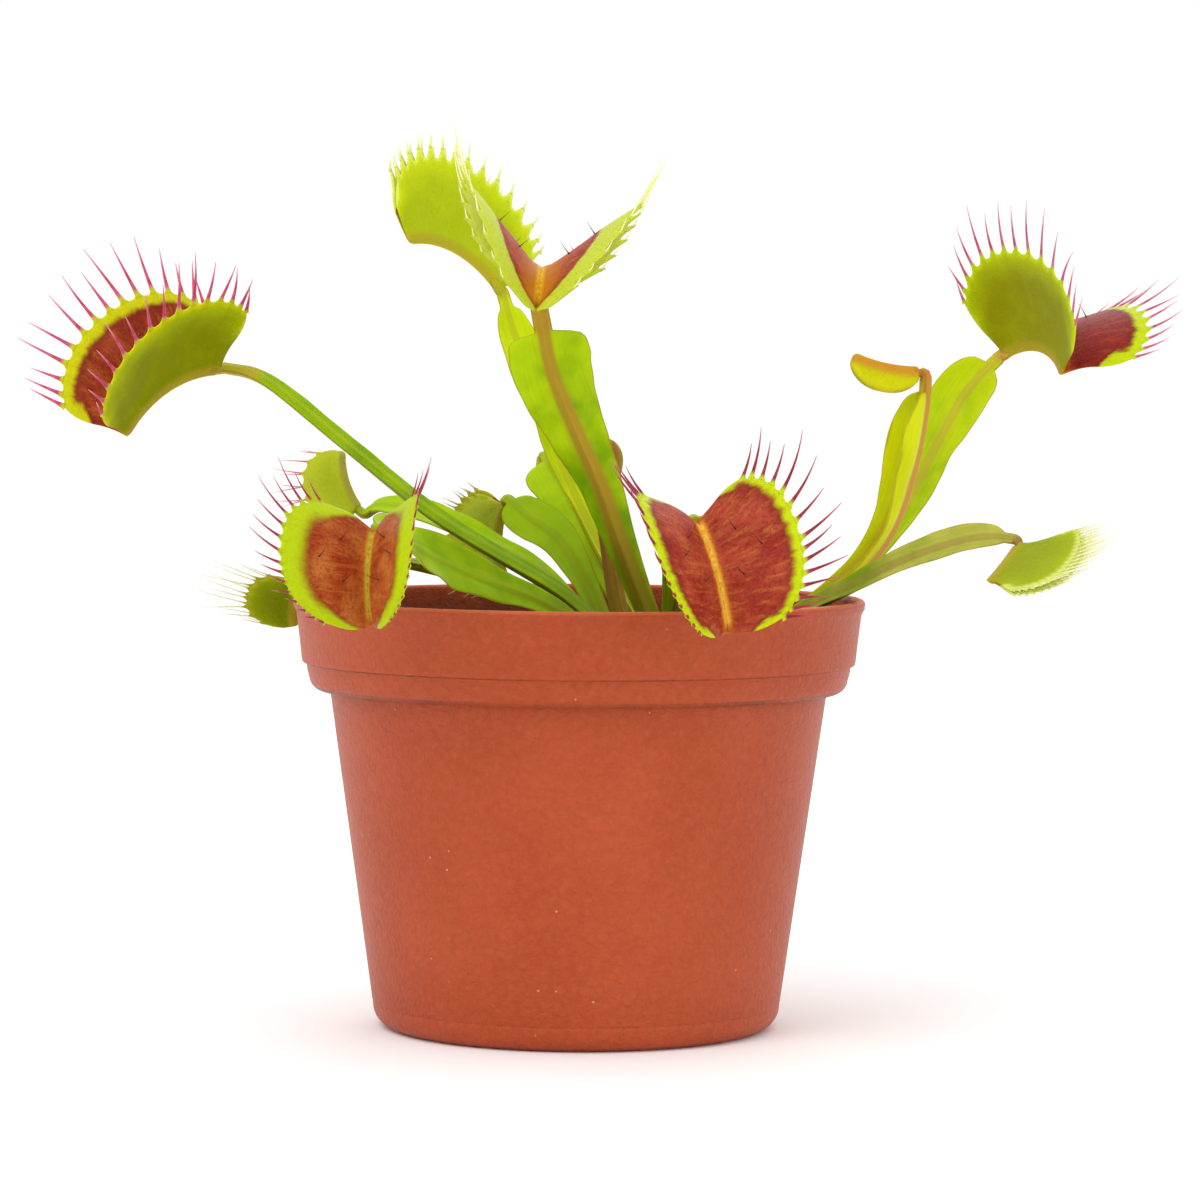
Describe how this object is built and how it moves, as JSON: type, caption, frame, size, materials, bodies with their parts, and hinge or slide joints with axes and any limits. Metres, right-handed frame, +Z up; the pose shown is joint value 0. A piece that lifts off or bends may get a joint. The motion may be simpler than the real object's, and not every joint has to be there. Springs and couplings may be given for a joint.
{
  "type": "potted venus flytrap",
  "caption": "Potted carnivorous plant: winged leaf stalks rise from crowns in a small tapered pot of soil, each ending in a hinged snap trap with a toothed margin.",
  "frame": {"origin": "centre of the pot's base, on the surface it stands on", "axes": "+Z up along the pot's axis; -Y towards the plant's front, where its two widest traps open; +X to the right seen from there"},
  "size_m": [0.169, 0.1084, 0.1321],
  "materials": {
    "pot_plastic": "satin terracotta-coloured moulded plastic",
    "peat": null,
    "crown": null,
    "petiole": null,
    "trap": null
  },
  "bodies": {
    "root": {"crown_main": "crown", "crown_side": "crown", "petiole_back_centre": "petiole", "petiole_back_high": "petiole", "petiole_back_left": "petiole", "petiole_centre_young": "petiole", "petiole_front_high": "petiole", "petiole_front_left": "petiole", "petiole_front_right": "petiole", "petiole_left_back": "petiole", "petiole_left_high": "petiole", "petiole_left_low": "petiole", "petiole_right_high": "petiole", "petiole_right_low": "petiole", "petiole_right_young": "petiole", "pot": "pot_plastic", "soil": "peat", "trap_back_centre": "trap", "trap_back_high": "trap", "trap_back_left": "trap", "trap_centre_young": "trap", "trap_front_high": "trap", "trap_front_left": "trap", "trap_front_right": "trap", "trap_left_back": "trap", "trap_left_high": "trap", "trap_left_low": "trap", "trap_right_high": "trap", "trap_right_low": "trap", "trap_right_young": "trap"}
  },
  "joints": []
}
